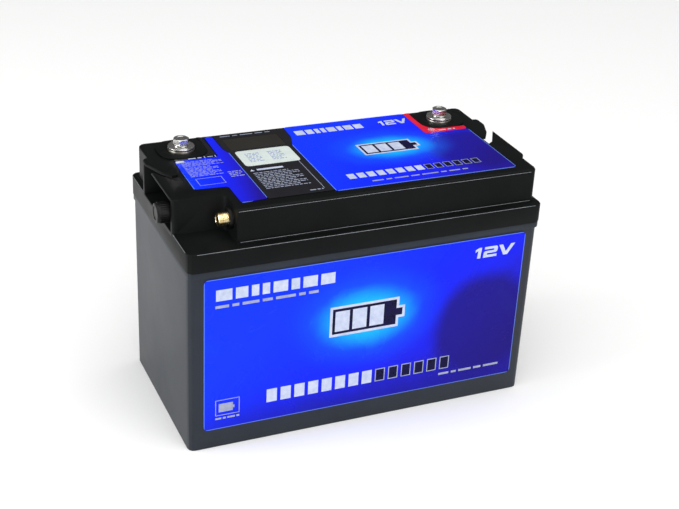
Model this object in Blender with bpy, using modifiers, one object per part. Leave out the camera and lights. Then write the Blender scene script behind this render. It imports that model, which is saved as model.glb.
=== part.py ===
"""Group 31 deep cycle battery: case, lid, terminals, data ports, labels and the pack inside.

Metres, +Z up, +X along the length, the labelled long side facing -Y.
The origin is the middle of the underside of the case.
"""
import math

import bmesh
import bpy
from mathutils import Vector

# Case
CASE_FOOT = (0.3269, 0.1650)
CASE_TOP = (0.3280, 0.1663)
CASE_HEIGHT = 0.1764
CASE_CORNER = 0.006
CASE_WALL = 0.003
LIP_SIZE = (0.3290, 0.1716)
LIP_HEIGHT = 0.0052

# Lid seal, in a groove in the rim of the case
SEAL_GROOVE = (0.3252, 0.1660)
SEAL_GROOVE_DEPTH = 0.0016
SEAL_OUTSIDE = (0.3246, 0.1654)
SEAL_INSIDE = (0.3216, 0.1600)
SEAL_THICKNESS = 0.0013

# Space left between two pieces, and how far a cutter runs past what it cuts
GAP = 0.0003
PAST = 0.01

# Lid: a skirt that sits on the case, and a block that stands on the skirt
SKIRT_SIZE = (0.3300, 0.1730)
SKIRT_BOTTOM = CASE_HEIGHT + GAP
SKIRT_TOP = 0.1942
STEP_SIZE = (0.3236, 0.1582)
STEP_TOP = 0.1959
BLOCK_SIZE = (0.3212, 0.1554)
LID_TOP = 0.2254
LID_WALL = 0.0035
LID_CORNER = 0.006
SKIRT_HOLLOW = (0.3186, 0.1570)
BUMP_X = 0.1655
BUMP_HALF_WIDTH = 0.046
EDGE_ROUND = 0.0020
SKIRT_ROUND = 0.0012

# Hand-hold pocket in each end of the lid, with a strap slot in its roof
POCKET_X = 0.146
POCKET_Y = (-0.041, 0.038)
POCKET_ROOF = 0.0025
SLOT_OUTLINE = (
    (0.170, 0.019), (0.1655, 0.0150), (0.1515, -0.0095), (0.1460, -0.0135),
    (0.1460, 0.0030), (0.1510, 0.0020), (0.1575, 0.0120), (0.1655, 0.0335), (0.170, 0.0400),
)

# Notch in the front left corner of the lid
NOTCH_X = -0.120
NOTCH_Y = -0.046
NOTCH_CORNER = 0.008

# Terminals
TERMINAL_X = 0.1275
TERMINAL_Y = 0.0530
PAD_RADIUS = 0.0120
PAD_TOP = 0.2280
POST_RADIUS = 0.0095
POST_BOTTOM = 0.2060
POST_BORE_BOTTOM = 0.2110
COLLAR_REACH = 0.0220
COLLAR_FRONT = 0.0207
COLLAR_CORNER = 0.0180
COLLAR_THICKNESS = 0.0009
BOLT_RADIUS = 0.004
BOLT_LENGTH = 0.016
BOLT_HEAD_WIDTH = 0.013
BOLT_HEAD_HEIGHT = 0.0053
BOLT_TURN = math.radians(35.7)
WASHER_BORE = 0.0044
FLAT_WASHER_RADIUS = 0.0119
FLAT_WASHER_THICKNESS = 0.0016
LOCK_WASHER_RADIUS = 0.0072
LOCK_WASHER_THICKNESS = 0.0013
LOCK_WASHER_SPLIT = 0.0012

# Data ports: the open one in the notch and the capped one in the left pocket
OPEN_PORT = Vector((NOTCH_X, -0.061, 0.2105))
OPEN_PORT_RADIUS = 0.006
OPEN_PORT_REACH = 0.0120
OPEN_PORT_TAIL = 0.0150
OPEN_PORT_FLANGE = (0.0088, 0.0028)
CAPPED_PORT = Vector((-POCKET_X, -0.0312, 0.2090))
CAPPED_PORT_RADIUS = 0.0072
CAPPED_PORT_REACH = 0.0250
CAPPED_PORT_TAIL = 0.0120
CAPPED_PORT_GASKET = (0.0090, 0.0020)
PORT_NUT_THICKNESS = 0.004
CAP_RADIUS = 0.0092
CAP_LENGTH = 0.0180
CAP_END = -0.1760
CAP_SEAL_BORE = 0.0048
CAP_SEAL_THICKNESS = 0.0012

# Labels
FILM = 0.0004
FILM_GAP = 0.0002
FRONT_LABEL_SIZE = (0.3025, 0.1485)
FRONT_LABEL_CENTRE = (0.0008, 0.0932)
FRONT_LABEL_CORNER = 0.0045
TOP_FILM_BOTTOM = LID_TOP + FILM_GAP
MARK_LEFT = 0.0998
MARK_RIGHT = 0.1437
MARK_FRONT = 0.0246
MARK_BACK = 0.0755
DISPLAY_X = (-0.0865, -0.0335)
DISPLAY_Y = (0.0375, 0.0640)
LENS_THICKNESS = 0.0020
LENS_PROUD = 0.0005
MODULE_BOTTOM = 0.2160
DISPLAY_BOARD_LOW = (-0.090, 0.034, 0.2139)
DISPLAY_BOARD_HIGH = (-0.030, 0.068, 0.2157)

# Cell pack
CELL_COUNT = 8
CELL_SIZE = (0.0267, 0.1483, 0.1300)
CELL_PITCH = 0.0274
FIRST_CELL_X = -0.082
CELL_BOTTOM = 0.0083
CELL_POST_RADIUS = 0.005
CELL_POST_HEIGHT = 0.0025
CELL_POST_Y = 0.045
BUSBAR = (0.016, 0.0020)
END_PLATE = 0.005
PLATE_DROP = 0.006
STRAP_HEIGHTS = (0.040, 0.100)
STRAP_WIDTH = 0.012
STRAP_THICKNESS = 0.0008

# Battery management board, standing at the left end of the pack, with what is fixed to it
BOARD_X = -0.1409
BOARD_TOP = 0.130
BOARD_THICKNESS = 0.0016
BOARD_HALF_WIDTH = 0.060
BOARD_BOTTOM = 0.020
SPREADER_THICKNESS = 0.0050
SWITCH_THICKNESS = 0.0069
LEAD_GAP = 0.0008
THICK_LEAD = 0.0042
THIN_LEAD = 0.0016


def clear_scene():
    for thing in list(bpy.data.objects):
        bpy.data.objects.remove(thing, do_unlink=True)


def make_collection(name):
    group = bpy.data.collections.new(name)
    bpy.context.scene.collection.children.link(group)
    return group


def material(name, colour, roughness, metallic=0.0):
    found = bpy.data.materials.get(name)
    if found:
        return found
    made = bpy.data.materials.new(name)
    made.use_nodes = True
    shader = made.node_tree.nodes["Principled BSDF"]
    shader.inputs["Base Color"].default_value = (*colour, 1.0)
    shader.inputs["Roughness"].default_value = roughness
    shader.inputs["Metallic"].default_value = metallic
    made.diffuse_color = (*colour, 1.0)
    return made


def black_plastic():
    return material("black_plastic", (0.020, 0.021, 0.023), 0.5)


def case_plastic():
    return material("case_plastic", (0.030, 0.034, 0.040), 0.45)


def label_blue():
    return material("label_blue", (0.012, 0.040, 0.900), 0.3)


def steel():
    return material("zinc_steel", (0.72, 0.72, 0.70), 0.3, 1.0)


def copper():
    return material("tinned_copper", (0.62, 0.60, 0.56), 0.35, 1.0)


def cable_black():
    return material("cable_black", (0.03, 0.03, 0.03), 0.6)


def seal_rubber():
    return material("seal_rubber", (0.03, 0.03, 0.03), 0.8)


def board_green():
    return material("board_green", (0.02, 0.16, 0.06), 0.5)


def aluminium():
    return material("aluminium", (0.70, 0.71, 0.72), 0.4, 1.0)


def add_object(name, mesh, surface, place=(0.0, 0.0, 0.0)):
    """A cutter is an object without a surface, kept out of the parts' collection."""
    made = bpy.data.objects.new(name, mesh)
    made.location = place
    if surface:
        if not mesh.materials:
            mesh.materials.append(surface)
        parts.objects.link(made)
    else:
        made.hide_render = True
        made.display_type = "WIRE"
        cutters.objects.link(made)
    return made


def finish_mesh(shape, name, smooth_angle=None):
    bmesh.ops.recalc_face_normals(shape, faces=shape.faces)
    mesh = bpy.data.meshes.new(name)
    shape.to_mesh(mesh)
    shape.free()
    if smooth_angle:
        mesh.shade_smooth()
        mesh.set_sharp_from_angle(angle=math.radians(smooth_angle))
    return mesh


def box(name, low, high, surface=None, corner=0.0, segments=3, top_scale=None, top_round=0.0):
    """A box between two corners, with its upright edges, and its top edge, rounded."""
    low, high = Vector(low), Vector(high)
    shape = bmesh.new()
    bmesh.ops.create_cube(shape, size=1.0)
    bmesh.ops.scale(shape, vec=high - low, verts=shape.verts)
    if top_scale:
        raised = [vert for vert in shape.verts if vert.co.z > 0]
        bmesh.ops.scale(shape, vec=(*top_scale, 1.0), verts=raised)
    if corner:
        upright = [edge for edge in shape.edges
                   if abs(edge.verts[0].co.z - edge.verts[1].co.z) > 0.5 * (high.z - low.z)]
        bmesh.ops.bevel(shape, geom=upright, offset=corner, segments=segments,
                        profile=0.5, affect="EDGES")
    if top_round:
        top = max(shape.faces, key=lambda face: face.calc_center_median().z)
        bmesh.ops.bevel(shape, geom=top.edges[:], offset=top_round, segments=3,
                        profile=0.5, affect="EDGES")
    return add_object(name, finish_mesh(shape, name), surface, (low + high) / 2)


def centred_box(name, size, bottom, top, surface=None, corner=0.0, segments=3, top_scale=None,
                top_round=0.0):
    half = (size[0] / 2, size[1] / 2)
    return box(name, (-half[0], -half[1], bottom), (half[0], half[1], top),
               surface, corner, segments, top_scale, top_round)


def cylinder(name, centre, radius, length, surface=None, segments=24, axis="Z"):
    shape = bmesh.new()
    bmesh.ops.create_cone(shape, cap_ends=True, segments=segments,
                          radius1=radius, radius2=radius, depth=length)
    made = add_object(name, finish_mesh(shape, name, 40), surface, centre)
    turn_to_axis(made, axis)
    return made


def turn_to_axis(thing, axis):
    """Turns a shape made along +Z so that it points along -X, where that is its axis."""
    if axis == "-X":
        thing.rotation_euler = (0.0, -math.pi / 2, 0.0)


def prism(name, outlines, bottom, top, surface=None):
    """A flat outline, with any further outlines as holes in it, given a thickness."""
    curve = bpy.data.curves.new(name, "CURVE")
    curve.dimensions = "2D"
    curve.fill_mode = "BOTH"
    curve.extrude = (top - bottom) / 2
    for outline in outlines:
        spline = curve.splines.new("POLY")
        spline.points.add(len(outline) - 1)
        for point, (x, y) in zip(spline.points, outline):
            point.co = (x, y, 0.0, 1.0)
        spline.use_cyclic_u = True
    return curve_to_mesh(name, curve, surface, (0.0, 0.0, (top + bottom) / 2))


def curve_to_mesh(name, curve, surface, place=(0.0, 0.0, 0.0)):
    source = bpy.data.objects.new(name + "_curve", curve)
    parts.objects.link(source)
    source.location = place
    bpy.context.view_layer.update()
    seen = source.evaluated_get(bpy.context.evaluated_depsgraph_get())
    mesh = bpy.data.meshes.new_from_object(seen)
    shape = bmesh.new()
    shape.from_mesh(mesh)
    bmesh.ops.remove_doubles(shape, verts=shape.verts, dist=0.00001)
    made = add_object(name, finish_mesh(shape, name, 40), surface)
    made.matrix_world = source.matrix_world.copy()
    bpy.data.objects.remove(source, do_unlink=True)
    bpy.data.meshes.remove(mesh)
    return made


def rounded(points, radius, segments=4):
    """An outline's points with every corner replaced by an arc, or less where it is short."""
    smooth = []
    count = len(points)
    for index, point in enumerate(points):
        here = Vector(point)
        before = Vector(points[index - 1]) - here
        after = Vector(points[(index + 1) % count]) - here
        reach = min(radius, 0.45 * before.length, 0.45 * after.length)
        first = here + before.normalized() * reach
        last = here + after.normalized() * reach
        for step in range(segments + 1):
            share = step / segments
            smooth.append((1 - share) ** 2 * first + 2 * share * (1 - share) * here + share ** 2 * last)
    return [tuple(point) for point in smooth]


def rectangle(low, high):
    return [(low[0], low[1]), (high[0], low[1]), (high[0], high[1]), (low[0], high[1])]


def turned(name, profile, centre, surface=None, segments=32, axis="Z"):
    """A closed profile of (radius, height) points turned about its own axis."""
    mesh = bpy.data.meshes.new(name)
    vertices = [(radius, 0.0, height) for radius, height in profile]
    count = len(vertices)
    closed = profile[0][0] > 0 and profile[-1][0] > 0
    edges = [(index, (index + 1) % count) for index in range(count if closed else count - 1)]
    mesh.from_pydata(vertices, edges, [])
    made = add_object(name, mesh, surface, centre)
    turn_to_axis(made, axis)
    screw = made.modifiers.new("turn", "SCREW")
    screw.steps = segments
    screw.render_steps = segments
    screw.use_merge_vertices = True
    screw.merge_threshold = 0.00001
    return made


def ring(name, inner, outer, thickness, centre, surface, segments=32, axis="Z"):
    profile = [(outer, thickness), (outer, 0.0), (inner, 0.0), (inner, thickness)]
    return turned(name, profile, centre, surface, segments, axis)


def smooth_route(points, per_span=4):
    """A smooth curve through the route's own points, with its first and last stretch straight."""
    route = [Vector(point) for point in points]
    line = [route[0]]
    for start in range(len(route) - 3):
        a, b, c, d = route[start:start + 4]
        for step in range(per_span):
            t = step / per_span
            line.append(0.5 * (2 * b + (c - a) * t + (2 * a - 5 * b + 4 * c - d) * t ** 2
                               + (3 * b - a - 3 * c + d) * t ** 3))
    return [*line, route[-2], route[-1]]


def lead(name, points, radius, surface):
    curve = bpy.data.curves.new(name, "CURVE")
    curve.dimensions = "3D"
    curve.bevel_depth = radius
    curve.bevel_resolution = 2
    curve.use_fill_caps = True
    line = smooth_route(points)
    spline = curve.splines.new("POLY")
    spline.points.add(len(line) - 1)
    for point, place in zip(spline.points, line):
        point.co = (*place, 1.0)
    return curve_to_mesh(name, curve, surface)


def boolean(target, operand, operation):
    change = target.modifiers.new(operation.lower(), "BOOLEAN")
    change.operation = operation
    change.solver = "EXACT"
    change.object = operand


def cut(target, cutter):
    boolean(target, cutter, "DIFFERENCE")


def join(target, operand):
    boolean(target, operand, "UNION")


def make_case():
    draft = (CASE_TOP[0] / CASE_FOOT[0], CASE_TOP[1] / CASE_FOOT[1])
    case = centred_box("case", CASE_FOOT, 0.0, CASE_HEIGHT, case_plastic(), CASE_CORNER,
                       top_scale=draft)
    join(case, centred_box("case_lip", LIP_SIZE, CASE_HEIGHT - LIP_HEIGHT, CASE_HEIGHT,
                           corner=CASE_CORNER))
    inside = (CASE_FOOT[0] - 2 * CASE_WALL, CASE_FOOT[1] - 2 * CASE_WALL)
    cut(case, centred_box("case_inside", inside, CASE_WALL, CASE_HEIGHT + PAST,
                          corner=CASE_CORNER / 2))
    cut(case, centred_box("seal_groove", SEAL_GROOVE, CASE_HEIGHT - SEAL_GROOVE_DEPTH,
                          CASE_HEIGHT + PAST, corner=CASE_CORNER / 2))


def make_lid_seal():
    seal = centred_box("lid_seal", SEAL_OUTSIDE, CASE_HEIGHT - SEAL_THICKNESS, CASE_HEIGHT,
                       seal_rubber(), CASE_CORNER / 2 - GAP)
    cut(seal, centred_box("seal_hole", SEAL_INSIDE, CASE_HEIGHT - PAST, CASE_HEIGHT + PAST,
                          corner=CASE_CORNER / 4))


def lid_cavities():
    """The hollow under the lid, as overlapping boxes that keep clear of the notch."""
    roof = LID_TOP - LID_WALL
    deck = SKIRT_TOP - LID_WALL
    side = BLOCK_SIZE[1] / 2 - LID_WALL
    end = POCKET_X - LID_WALL
    below = SKIRT_BOTTOM - PAST
    notch_wall = NOTCH_Y + LID_WALL
    overlap = 0.0025
    return (
        box("lid_hollow_back", (-end, notch_wall, below), (end, side, roof)),
        box("lid_hollow_front", (NOTCH_X + LID_WALL, -side, below), (end, notch_wall + overlap, roof)),
        centred_box("lid_hollow_skirt", SKIRT_HOLLOW, below, deck),
    )


def lid_end_cutters(side):
    """Pocket and strap slot of one end: side is +1 on the right and -1 on the left."""
    inner, outer = sorted((side * POCKET_X, side * (BUMP_X + PAST)))
    pocket = box(f"pocket_{side}", (inner, POCKET_Y[0], SKIRT_TOP),
                 (outer, POCKET_Y[1], LID_TOP - POCKET_ROOF))
    outline = [(side * x, y) for x, y in SLOT_OUTLINE]
    slot = prism(f"slot_{side}", [outline], LID_TOP - PAST, LID_TOP + PAST)
    return pocket, slot


def make_lid():
    lid = centred_box("lid", SKIRT_SIZE, SKIRT_BOTTOM, SKIRT_TOP, black_plastic(), LID_CORNER + 0.001,
                      top_round=SKIRT_ROUND)
    join(lid, centred_box("lid_step", STEP_SIZE, SKIRT_TOP - 0.004, STEP_TOP, corner=LID_CORNER))
    join(lid, centred_box("lid_block", BLOCK_SIZE, SKIRT_TOP - 0.005, LID_TOP, corner=LID_CORNER,
                          top_round=EDGE_ROUND))
    join(lid, box("lid_bumps", (-BUMP_X, -BUMP_HALF_WIDTH, SKIRT_TOP - 0.003),
                  (BUMP_X, BUMP_HALF_WIDTH, LID_TOP), corner=LID_CORNER - 0.002, top_round=EDGE_ROUND))
    for cavity in lid_cavities():
        cut(lid, cavity)
    for side in (-1, 1):
        for cutter in lid_end_cutters(side):
            cut(lid, cutter)
    outside = (-SKIRT_SIZE[0] / 2 - PAST, -SKIRT_SIZE[1] / 2 - PAST)
    cut(lid, box("notch", (*outside, SKIRT_TOP), (NOTCH_X, NOTCH_Y, LID_TOP + PAST),
                 corner=NOTCH_CORNER, segments=5))
    for side in (-1, 1):
        cut(lid, cylinder(f"post_hole_{side}", (side * TERMINAL_X, TERMINAL_Y, LID_TOP),
                          POST_RADIUS + GAP, 2 * PAST, segments=32))
    for port, radius in ((OPEN_PORT, OPEN_PORT_RADIUS), (CAPPED_PORT, CAPPED_PORT_RADIUS)):
        cut(lid, cylinder("port_hole", port, radius + GAP, 4 * LID_WALL, axis="-X"))
    cut(lid, box("display_window", (DISPLAY_X[0], DISPLAY_Y[0], LID_TOP - PAST),
                 (DISPLAY_X[1], DISPLAY_Y[1], LID_TOP + PAST)))


def collar_outline(side, spare=0.0):
    """Rounded square round a terminal, seen from above."""
    x = side * TERMINAL_X
    low = (x - COLLAR_REACH - spare, TERMINAL_Y - COLLAR_FRONT - spare)
    high = (x + COLLAR_REACH + spare, TERMINAL_Y + COLLAR_REACH + spare)
    return rounded(rectangle(low, high), COLLAR_CORNER, 6)


def make_terminal(name, side):
    """Threaded post with its pad, the collar plate round it, two washers and the M8 bolt."""
    x, y = side * TERMINAL_X, TERMINAL_Y
    bore = BOLT_RADIUS + GAP
    flange_bottom = LID_TOP + GAP
    post = [(0.0, POST_BORE_BOTTOM), (bore, POST_BORE_BOTTOM), (bore, PAD_TOP), (PAD_RADIUS, PAD_TOP),
            (PAD_RADIUS, flange_bottom), (POST_RADIUS, flange_bottom), (POST_RADIUS, POST_BOTTOM),
            (0.0, POST_BOTTOM)]
    turned(f"{name}_post", post, (x, y, 0.0), copper())
    collar = prism(f"{name}_collar", [collar_outline(side)], flange_bottom,
                   flange_bottom + COLLAR_THICKNESS, black_plastic())
    cut(collar, cylinder(f"{name}_collar_hole", (x, y, LID_TOP), PAD_RADIUS + GAP, 2 * PAST,
                         segments=32))
    height = PAD_TOP + GAP
    ring(f"{name}_flat_washer", WASHER_BORE, FLAT_WASHER_RADIUS, FLAT_WASHER_THICKNESS, (x, y, height),
         steel())
    height += FLAT_WASHER_THICKNESS + GAP
    lock = ring(f"{name}_lock_washer", WASHER_BORE, LOCK_WASHER_RADIUS, LOCK_WASHER_THICKNESS,
                (x, y, height), steel())
    cut(lock, box(f"{name}_washer_split", (x, y - LOCK_WASHER_SPLIT / 2, height - PAST),
                  (x + 2 * LOCK_WASHER_RADIUS, y + LOCK_WASHER_SPLIT / 2, height + PAST)))
    height += LOCK_WASHER_THICKNESS + GAP
    make_bolt(f"{name}_bolt", (x, y, height))


def make_bolt(name, seat):
    """Hexagon bolt with its origin on its own axis, where its head meets the washer."""
    across_corners = BOLT_HEAD_WIDTH / math.cos(math.pi / 6)
    shape = bmesh.new()
    made = bmesh.ops.create_cone(shape, cap_ends=True, segments=6, radius1=across_corners / 2,
                                 radius2=across_corners / 2, depth=BOLT_HEAD_HEIGHT)
    bmesh.ops.translate(shape, vec=(0.0, 0.0, BOLT_HEAD_HEIGHT / 2), verts=made["verts"])
    bolt = add_object(name, finish_mesh(shape, name), steel(), seat)
    bolt.rotation_euler.z = BOLT_TURN
    overlap = 0.001
    shank = Vector(seat) + Vector((0.0, 0.0, (overlap - BOLT_LENGTH) / 2))
    join(bolt, cylinder(f"{name}_shank", shank, BOLT_RADIUS, BOLT_LENGTH + overlap, segments=24))


def make_open_port():
    """Metal data socket in the notch, with its flange, insert and the nut behind the wall."""
    radius = OPEN_PORT_RADIUS
    socket = radius - 0.0016
    floor = 0.0040
    insert = 0.0034
    profile = [(0.0, floor), (socket, floor), (socket, OPEN_PORT_REACH), (radius, OPEN_PORT_REACH),
               (radius, -OPEN_PORT_TAIL), (0.0, -OPEN_PORT_TAIL)]
    turned("open_port_shell", profile, OPEN_PORT,
           material("brass", (0.85, 0.62, 0.25), 0.25, 1.0), axis="-X")
    cylinder("open_port_insert", OPEN_PORT - Vector((floor + GAP + insert / 2, 0, 0)), socket - GAP,
             insert, black_plastic(), axis="-X")
    ring("open_port_flange", radius + GAP, *OPEN_PORT_FLANGE, OPEN_PORT - Vector((GAP, 0, 0)),
         black_plastic(), axis="-X")
    make_nut("open_port_nut", OPEN_PORT, radius, OPEN_PORT_FLANGE[0])


def make_nut(name, port, bore, half_width):
    """Hexagon nut on the port's tail, against the inner side of the lid's wall."""
    centre = port + Vector((LID_WALL + GAP + PORT_NUT_THICKNESS / 2, 0, 0))
    nut = cylinder(name, centre, half_width, PORT_NUT_THICKNESS, steel(), 6, "-X")
    cut(nut, cylinder(f"{name}_bore", centre, bore + GAP, 4 * PORT_NUT_THICKNESS, segments=24,
                      axis="-X"))


def make_capped_port():
    """Second data socket, in the left pocket, under a screwed dust cap."""
    radius = CAPPED_PORT_RADIUS
    socket = radius - 0.002
    reach = CAPPED_PORT_REACH
    floor = 0.0120
    profile = [(0.0, floor), (socket, floor), (socket, reach), (radius, reach),
               (radius, -CAPPED_PORT_TAIL), (0.0, -CAPPED_PORT_TAIL)]
    turned("capped_port_shell", profile, CAPPED_PORT,
           material("nickel_brass", (0.60, 0.58, 0.52), 0.3, 1.0), axis="-X")
    ring("capped_port_gasket", radius + GAP, *CAPPED_PORT_GASKET, CAPPED_PORT - Vector((GAP, 0, 0)),
         seal_rubber(), axis="-X")
    make_nut("capped_port_nut", CAPPED_PORT, radius, 0.0100)
    face = CAPPED_PORT.x - reach - GAP
    ring("cap_seal", CAP_SEAL_BORE, radius - GAP, CAP_SEAL_THICKNESS,
         (face, CAPPED_PORT.y, CAPPED_PORT.z), seal_rubber(), 24, "-X")
    bore = radius + GAP
    inner_end = face - CAP_SEAL_THICKNESS - GAP
    open_end = CAP_END + CAP_LENGTH
    height = open_end - CAP_END
    depth = open_end - inner_end
    chamfer = 0.0012
    cap = [(0.0, height), (CAP_RADIUS - chamfer, height), (CAP_RADIUS, height - chamfer),
           (CAP_RADIUS, 0.0), (bore, 0.0), (bore, depth), (0.0, depth)]
    turned("dust_cap", cap, (open_end, CAPPED_PORT.y, CAPPED_PORT.z), black_plastic(), 32, "-X")


def make_front_label():
    """Film on the front wall, leaning with the wall's draft."""
    width, height = FRONT_LABEL_SIZE
    outline = rounded(rectangle((-width / 2, -height / 2), (width / 2, height / 2)),
                      FRONT_LABEL_CORNER)
    label = prism("front_label", [outline], 0.0, FILM, label_blue())
    lean = (CASE_TOP[1] - CASE_FOOT[1]) / 2 / CASE_HEIGHT
    x, z = FRONT_LABEL_CENTRE
    wall = -CASE_FOOT[1] / 2 - lean * z
    label.rotation_euler = (math.pi / 2 + math.atan(lean), 0.0, 0.0)
    label.location = (x, wall - FILM_GAP - FILM / 2, z)


def make_top_films():
    top = TOP_FILM_BOTTOM + FILM
    spec = [(-0.0995, 0.0735), (-0.1010, 0.0285), (-0.1410, 0.0285), (-0.1420, -0.0315),
            (-0.1128, -0.0335), (-0.1128, -0.0675), (-0.0893, -0.0655), (-0.0893, 0.0330),
            (-0.0925, 0.0420), (-0.0925, 0.0735)]
    prism("spec_label", [rounded(spec, 0.003)], TOP_FILM_BOTTOM, top, label_blue())
    seam = 0.0004
    main = [(-0.0225, MARK_BACK), (-0.0235, 0.0520), (-0.0293, 0.0340), (-0.0293, -0.0690),
            (0.1440, -0.0690), (0.1440, MARK_FRONT - seam), (MARK_LEFT - seam, MARK_FRONT - seam),
            (MARK_LEFT - seam, MARK_BACK)]
    prism("top_label", [rounded(main, 0.0035)], TOP_FILM_BOTTOM, top, label_blue())
    window = rectangle((DISPLAY_X[0], DISPLAY_Y[0]), (DISPLAY_X[1], DISPLAY_Y[1]))
    panel = [(-0.0888, -0.0665), (-0.0300, -0.0665), (-0.0300, 0.0335), (-0.0242, 0.0515),
             (-0.0232, 0.0735), (-0.0918, 0.0735), (-0.0918, 0.0425), (-0.0888, 0.0335)]
    prism("notice_panel", [rounded(panel, 0.001, 2), window], TOP_FILM_BOTTOM, top,
          material("panel_black", (0.010, 0.010, 0.012), 0.35))
    sticker = rounded(rectangle((-0.0850, -0.0002), (-0.0340, 0.0330)), 0.004)
    prism("white_sticker", [sticker], top + FILM_GAP, top + FILM_GAP + FILM / 2,
          material("sticker_white", (0.80, 0.86, 0.80), 0.5))


def make_polarity_mark(name, side, low, high, surface):
    """Film band that follows two sides of a terminal's collar."""
    patch = prism(name, [rounded(rectangle(low, high), 0.004)], TOP_FILM_BOTTOM,
                  TOP_FILM_BOTTOM + FILM, surface)
    past_back = [(x, y if y < TERMINAL_Y else y + PAST) for x, y in collar_outline(side, GAP)]
    past_end = [(x if abs(x) < TERMINAL_X else x + side * PAST, y) for x, y in past_back]
    cut(patch, prism(f"{name}_hole", [past_end], LID_TOP - PAST, LID_TOP + PAST))


def make_display():
    """Window lens, display module and its circuit board under the lid's roof."""
    low = (DISPLAY_X[0] + GAP, DISPLAY_Y[0] + GAP)
    high = (DISPLAY_X[1] - GAP, DISPLAY_Y[1] - GAP)
    box("display_lens", (*low, LID_TOP - LENS_THICKNESS), (*high, LID_TOP + LENS_PROUD),
        material("smoked_lens", (0.045, 0.042, 0.036), 0.15))
    box("display_module", (*low, MODULE_BOTTOM), (*high, LID_TOP - LENS_THICKNESS - GAP),
        material("display_green", (0.10, 0.12, 0.08), 0.4))
    box("display_board", DISPLAY_BOARD_LOW, DISPLAY_BOARD_HIGH, board_green())


def cell_x(index):
    return FIRST_CELL_X + index * CELL_PITCH


def make_cells():
    """Prismatic cells stood side by side, each with two terminal studs on top."""
    top = CELL_BOTTOM + CELL_SIZE[2]
    half = (CELL_SIZE[0] / 2, CELL_SIZE[1] / 2)
    surface = material("cell_blue", (0.05, 0.12, 0.35), 0.5)
    for index in range(CELL_COUNT):
        name = f"cell_{index + 1}"
        x = cell_x(index)
        cell = box(name, (x - half[0], -half[1], CELL_BOTTOM), (x + half[0], half[1], top), surface)
        overlap = 0.002
        stud = CELL_POST_HEIGHT + overlap
        for y in (-CELL_POST_Y, CELL_POST_Y):
            join(cell, cylinder(f"{name}_stud", (x, y, top + stud / 2 - overlap), CELL_POST_RADIUS,
                                stud, segments=12))


def make_busbars():
    """Bars that join the cells in pairs, and the pairs in series from one end to the other."""
    bottom = CELL_BOTTOM + CELL_SIZE[2] + CELL_POST_HEIGHT + GAP
    spans = (("busbar_negative", 0, 1, 1), ("busbar_1", 0, 3, -1), ("busbar_2", 2, 5, 1),
             ("busbar_3", 4, 7, -1), ("busbar_positive", 6, 7, 1))
    overhang = CELL_POST_RADIUS + 0.003
    for name, first, last, side in spans:
        y = side * CELL_POST_Y
        box(name, (cell_x(first) - overhang, y - BUSBAR[0] / 2, bottom),
            (cell_x(last) + overhang, y + BUSBAR[0] / 2, bottom + BUSBAR[1]), copper())
    return bottom + BUSBAR[1]


def make_pack_frame():
    """End plates, the straps that hold them together, and the foam the pack rests against."""
    left = cell_x(0) - CELL_SIZE[0] / 2 - GAP
    right = cell_x(CELL_COUNT - 1) + CELL_SIZE[0] / 2 + GAP
    half = CELL_SIZE[1] / 2
    top = CELL_BOTTOM + CELL_SIZE[2] - PLATE_DROP
    foam = material("foam_grey", (0.18, 0.18, 0.18), 0.9)
    box("end_plate_left", (left - END_PLATE, -half, CELL_BOTTOM), (left, half, top), aluminium())
    box("end_plate_right", (right, -half, CELL_BOTTOM), (right + END_PLATE, half, top), aluminium())
    for index, z in enumerate(STRAP_HEIGHTS):
        prism(f"pack_strap_{index + 1}", strap_outlines(left, right, half), z - STRAP_WIDTH / 2,
              z + STRAP_WIDTH / 2, material("strap_steel", (0.60, 0.60, 0.60), 0.4, 1.0))
    inside = (CASE_FOOT[0] / 2 - CASE_WALL - GAP, CASE_FOOT[1] / 2 - CASE_WALL - GAP)
    box("base_foam", (left - END_PLATE, -inside[1], CASE_WALL + GAP),
        (inside[0], inside[1], CELL_BOTTOM - GAP), foam, 0.003, 2)
    beside_strap = right + END_PLATE + STRAP_THICKNESS + 2 * GAP
    box("end_foam", (beside_strap, -half, CELL_BOTTOM), (inside[0], half, top), foam)


def strap_outlines(left, right, half):
    """A flat band round the cells and both end plates, seen from above."""
    low = (left - END_PLATE - GAP, -half - GAP)
    high = (right + END_PLATE + GAP, half + GAP)
    band = STRAP_THICKNESS
    outside = rectangle((low[0] - band, low[1] - band), (high[0] + band, high[1] + band))
    return [outside, rectangle(low, high)]


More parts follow.
